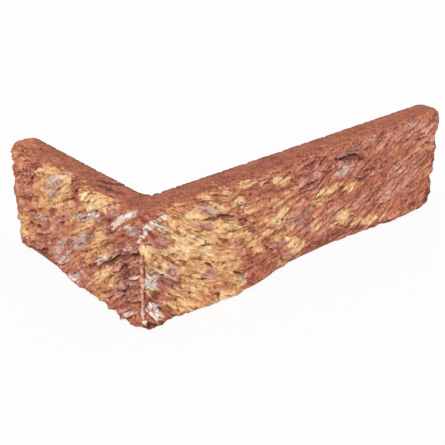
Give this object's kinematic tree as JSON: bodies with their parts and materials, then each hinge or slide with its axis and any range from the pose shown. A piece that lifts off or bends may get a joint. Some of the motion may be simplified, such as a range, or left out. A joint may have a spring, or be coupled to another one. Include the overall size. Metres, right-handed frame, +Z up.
{
  "type": "corner brick slip",
  "caption": "L-shaped corner brick slip of hand-moulded fired clay, with a rough moulded face on the outside, flat backs inside and flat beds.",
  "frame": {"origin": "middle of the base of the slip's bounding box, on the plane of the lower bed", "axes": "+X down the long leg, away from the outer corner; +Y down the short leg, away from the outer corner; +Z up, from the lower bed to the upper"},
  "size_m": [0.2444, 0.1296, 0.065],
  "materials": {
    "fired_clay": "matt, hand-moulded red clay with ochre, mauve and whitish patches"
  },
  "bodies": {
    "root": {"corner_slip": "fired_clay"}
  },
  "joints": []
}
